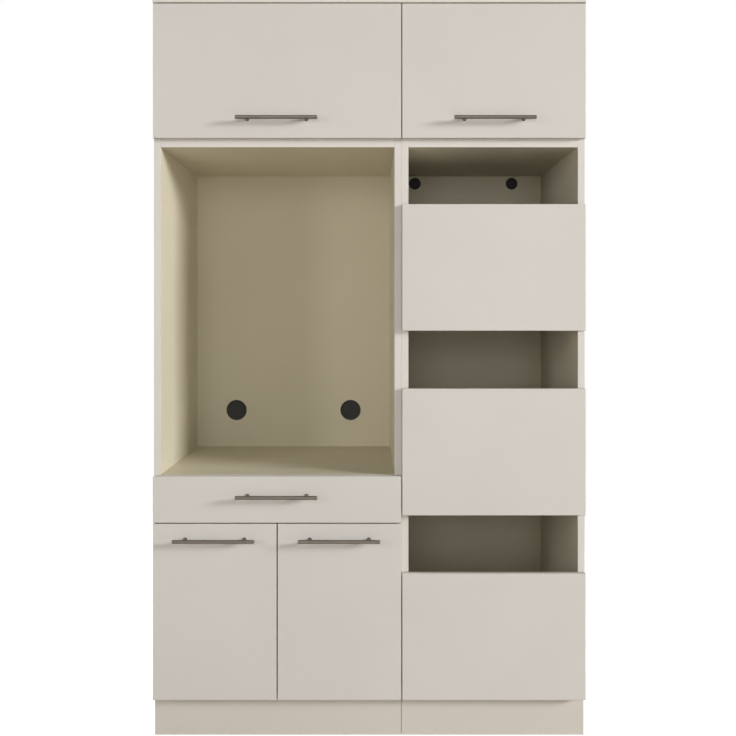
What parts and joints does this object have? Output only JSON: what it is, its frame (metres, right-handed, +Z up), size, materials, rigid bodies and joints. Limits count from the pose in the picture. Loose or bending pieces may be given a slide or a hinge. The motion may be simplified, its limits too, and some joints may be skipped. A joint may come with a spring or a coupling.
{
  "type": "multipurpose laundry cabinet",
  "caption": "Tall laundry cabinet: washing-machine bay over a drawer and a door cupboard, beside open bays with laundry pull-outs, under lift-up flap cupboards.",
  "frame": {"origin": "centre of the outline's base, on the floor", "axes": "+Z up, -Y out of the fronts, +X to the right as seen from the front"},
  "size_m": [1.175, 0.656, 2.015],
  "materials": {
    "front_board": "smooth matt lacquer over particle board, warm off-white",
    "carcass_board": "smooth matt melamine over particle board, warm off-white",
    "back_board": "smooth matt coated fibreboard, warm off-white",
    "plinth_board": "smooth matt lacquer over particle board, warm off-white",
    "drawer_board": "smooth matt melamine over particle board, pale greige",
    "handle_steel": "brushed, satin",
    "hinge_steel": "nickel-plated, satin",
    "runner_steel": "zinc-plated, dull",
    "basket_plastic": "matt moulded, taupe grey"
  },
  "bodies": {
    "carcass": {"washer_unit_left_side": "carcass_board", "washer_unit_right_side": "carcass_board", "washer_unit_bottom": "carcass_board", "washer_platform": "carcass_board", "washer_unit_top": "carcass_board", "washer_unit_back": "back_board", "left_plinth": "plinth_board", "laundry_unit_left_side": "carcass_board", "laundry_unit_right_side": "carcass_board", "laundry_unit_bottom": "carcass_board", "laundry_unit_top": "carcass_board", "laundry_unit_back": "back_board", "right_plinth": "plinth_board", "middle_laundry_shelf": "carcass_board", "upper_laundry_shelf": "carcass_board", "left_cupboard_left_side": "carcass_board", "left_cupboard_right_side": "carcass_board", "left_cupboard_bottom": "carcass_board", "left_cupboard_back": "back_board", "right_cupboard_left_side": "carcass_board", "right_cupboard_right_side": "carcass_board", "right_cupboard_bottom": "carcass_board", "right_cupboard_back": "back_board", "top_board": "carcass_board", "left_flap_hinge_left": "hinge_steel", "left_flap_hinge_right": "hinge_steel", "right_flap_hinge_left": "hinge_steel", "right_flap_hinge_right": "hinge_steel", "left_door_hinge_lower": "hinge_steel", "left_door_hinge_upper": "hinge_steel", "right_door_hinge_lower": "hinge_steel", "right_door_hinge_upper": "hinge_steel", "drawer_runner_left": "runner_steel", "drawer_runner_right": "runner_steel", "lower_pullout_runner_left": "runner_steel", "lower_pullout_runner_right": "runner_steel", "middle_pullout_runner_left": "runner_steel", "middle_pullout_runner_right": "runner_steel", "upper_pullout_runner_left": "runner_steel", "upper_pullout_runner_right": "runner_steel"},
    "left_flap_leaf": {"left_flap": "front_board", "left_flap_handle": "handle_steel"},
    "right_flap_leaf": {"right_flap": "front_board", "right_flap_handle": "handle_steel"},
    "drawer": {"drawer_front": "front_board", "drawer_handle": "handle_steel", "drawer_box": "drawer_board"},
    "left_door_leaf": {"left_door": "front_board", "left_door_handle": "handle_steel"},
    "right_door_leaf": {"right_door": "front_board", "right_door_handle": "handle_steel"},
    "lower_pullout": {"lower_pullout_front": "front_board", "lower_pullout_tray": "drawer_board", "lower_basket": "basket_plastic"},
    "middle_pullout": {"middle_pullout_front": "front_board", "middle_pullout_tray": "drawer_board", "middle_basket": "basket_plastic"},
    "upper_pullout": {"upper_pullout_front": "front_board", "upper_pullout_tray": "drawer_board", "upper_basket": "basket_plastic"}
  },
  "joints": [
    {"name": "left_flap_lift", "type": "hinge", "parent": "carcass", "child": "left_flap_leaf", "pos_m": [-0.25, -0.293, 1.993], "axis": [-1, 0, 0], "range_deg": [0, 100]},
    {"name": "right_flap_lift", "type": "hinge", "parent": "carcass", "child": "right_flap_leaf", "pos_m": [0.3375, -0.293, 1.993], "axis": [-1, 0, 0], "range_deg": [0, 100]},
    {"name": "drawer_slide", "type": "slide", "parent": "carcass", "child": "drawer", "axis": [0, -1, 0], "range_m": [0, 0.45]},
    {"name": "left_door_swing", "type": "hinge", "parent": "carcass", "child": "left_door_leaf", "pos_m": [-0.586, -0.293, 0.3455], "axis": [0, 0, -1], "range_deg": [0, 90]},
    {"name": "right_door_swing", "type": "hinge", "parent": "carcass", "child": "right_door_leaf", "pos_m": [0.086, -0.293, 0.3455], "axis": [0, 0, 1], "range_deg": [0, 90]},
    {"name": "lower_pullout_slide", "type": "slide", "parent": "carcass", "child": "lower_pullout", "axis": [0, -1, 0], "range_m": [0, 0.45]},
    {"name": "middle_pullout_slide", "type": "slide", "parent": "carcass", "child": "middle_pullout", "axis": [0, -1, 0], "range_m": [0, 0.45]},
    {"name": "upper_pullout_slide", "type": "slide", "parent": "carcass", "child": "upper_pullout", "axis": [0, -1, 0], "range_m": [0, 0.45]}
  ]
}
